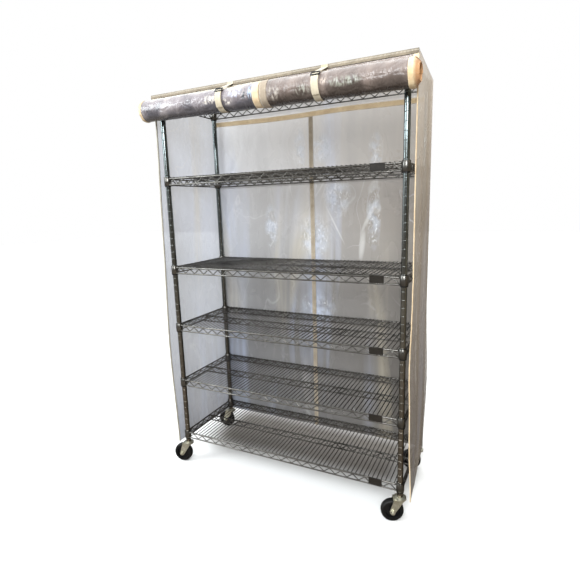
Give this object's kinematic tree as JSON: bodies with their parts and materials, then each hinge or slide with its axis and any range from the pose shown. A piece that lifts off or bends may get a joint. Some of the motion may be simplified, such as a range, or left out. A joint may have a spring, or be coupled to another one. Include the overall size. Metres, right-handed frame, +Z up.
{
  "type": "enclosed sheet pan rack",
  "caption": "Tall wire shelf rack on swivel casters, enclosed by a clear vinyl cover whose front panel is rolled up in halves and strapped.",
  "frame": {"origin": "on the floor, midway between the four posts", "axes": "+Z up, +X to the right and +Y to the back as seen from the open front"},
  "size_m": [0.9826, 0.4369, 1.4364],
  "materials": {
    "chrome_post": "polished chrome plating on steel tube, with a fine ring groove at each step",
    "chrome_wire": "chrome plated steel wire, slightly dull at the welds",
    "zinc_steel": "zinc plated pressed steel",
    "black_plastic": "matte black moulded plastic",
    "label_plastic": "matte dark moulded plastic, blank",
    "wheel_plastic": "matte black moulded plastic",
    "tyre_rubber": "smooth black rubber",
    "clear_vinyl": "clear flexible vinyl sheet, faintly creased",
    "rolled_vinyl": "clear vinyl in many rolled turns, hazy and creased",
    "cream_tape": "woven cream edge tape",
    "tan_tape": "woven tan tape",
    "strap_webbing": "woven cream webbing",
    "buckle_plastic": "glossy black moulded plastic"
  },
  "bodies": {
    "rack": {"post_front_left": "chrome_post", "post_front_right": "chrome_post", "post_back_left": "chrome_post", "post_back_right": "chrome_post", "post_caps": "black_plastic", "post_stem_inserts": "zinc_steel", "shelf_1_top": "chrome_wire", "shelf_2": "chrome_wire", "shelf_3": "chrome_wire", "shelf_4": "chrome_wire", "shelf_5": "chrome_wire", "shelf_6_bottom": "chrome_wire", "split_sleeves_upper": "black_plastic", "split_sleeves_middle": "black_plastic", "split_sleeves_lower": "black_plastic", "label_holders": "label_plastic", "caster_front_left_stem": "zinc_steel", "caster_front_right_stem": "zinc_steel", "caster_back_left_stem": "zinc_steel", "caster_back_right_stem": "zinc_steel", "cover_roof": "clear_vinyl", "cover_back": "clear_vinyl", "cover_left": "clear_vinyl", "cover_right": "clear_vinyl", "cover_left_front_binding": "cream_tape", "cover_right_front_binding": "cream_tape", "cover_roof_binding": "tan_tape", "cover_back_band": "tan_tape", "cover_back_seam": "tan_tape", "front_roll_left": "rolled_vinyl", "front_roll_right": "rolled_vinyl", "front_roll_left_outer_binding": "cream_tape", "front_roll_left_inner_binding": "cream_tape", "front_roll_right_inner_binding": "cream_tape", "front_roll_right_outer_binding": "cream_tape", "strap_left": "strap_webbing", "strap_right": "strap_webbing", "strap_left_buckle": "buckle_plastic", "strap_right_buckle": "buckle_plastic"},
    "swivel_front_left": {"caster_front_left_fork": "zinc_steel", "caster_front_left_axle": "zinc_steel", "caster_front_left_axle_nut": "zinc_steel"},
    "wheel_front_left": {"caster_front_left_wheel_hub": "wheel_plastic", "caster_front_left_tyre": "tyre_rubber"},
    "swivel_front_right": {"caster_front_right_fork": "zinc_steel", "caster_front_right_axle": "zinc_steel", "caster_front_right_axle_nut": "zinc_steel"},
    "wheel_front_right": {"caster_front_right_wheel_hub": "wheel_plastic", "caster_front_right_tyre": "tyre_rubber"},
    "swivel_back_left": {"caster_back_left_fork": "zinc_steel", "caster_back_left_axle": "zinc_steel", "caster_back_left_axle_nut": "zinc_steel"},
    "wheel_back_left": {"caster_back_left_wheel_hub": "wheel_plastic", "caster_back_left_tyre": "tyre_rubber"},
    "swivel_back_right": {"caster_back_right_fork": "zinc_steel", "caster_back_right_axle": "zinc_steel", "caster_back_right_axle_nut": "zinc_steel"},
    "wheel_back_right": {"caster_back_right_wheel_hub": "wheel_plastic", "caster_back_right_tyre": "tyre_rubber"}
  },
  "joints": [
    {"name": "caster_front_left_swivel", "type": "hinge", "parent": "rack", "child": "swivel_front_left", "pos_m": [-0.437, -0.158, 0.0795], "axis": [0, 0, 1], "continuous": true},
    {"name": "caster_front_left_wheel_spin", "type": "hinge", "parent": "swivel_front_left", "child": "wheel_front_left", "pos_m": [-0.46136, -0.16362, 0.0375], "axis": [-0.225, 0.9744, 0], "continuous": true},
    {"name": "caster_front_right_swivel", "type": "hinge", "parent": "rack", "child": "swivel_front_right", "pos_m": [0.437, -0.158, 0.0795], "axis": [0, 0, 1], "continuous": true},
    {"name": "caster_front_right_wheel_spin", "type": "hinge", "parent": "swivel_front_right", "child": "wheel_front_right", "pos_m": [0.41382, -0.16737, 0.0375], "axis": [-0.3746, 0.9272, 0], "continuous": true},
    {"name": "caster_back_left_swivel", "type": "hinge", "parent": "rack", "child": "swivel_back_left", "pos_m": [-0.437, 0.158, 0.0795], "axis": [0, 0, 1], "continuous": true},
    {"name": "caster_back_left_wheel_spin", "type": "hinge", "parent": "swivel_back_left", "child": "wheel_back_left", "pos_m": [-0.46198, 0.15713, 0.0375], "axis": [-0.0349, 0.9994, 0], "continuous": true},
    {"name": "caster_back_right_swivel", "type": "hinge", "parent": "rack", "child": "swivel_back_right", "pos_m": [0.437, 0.158, 0.0795], "axis": [0, 0, 1], "continuous": true},
    {"name": "caster_back_right_wheel_spin", "type": "hinge", "parent": "swivel_back_right", "child": "wheel_back_right", "pos_m": [0.41224, 0.15452, 0.0375], "axis": [-0.1392, 0.9903, 0], "continuous": true}
  ]
}
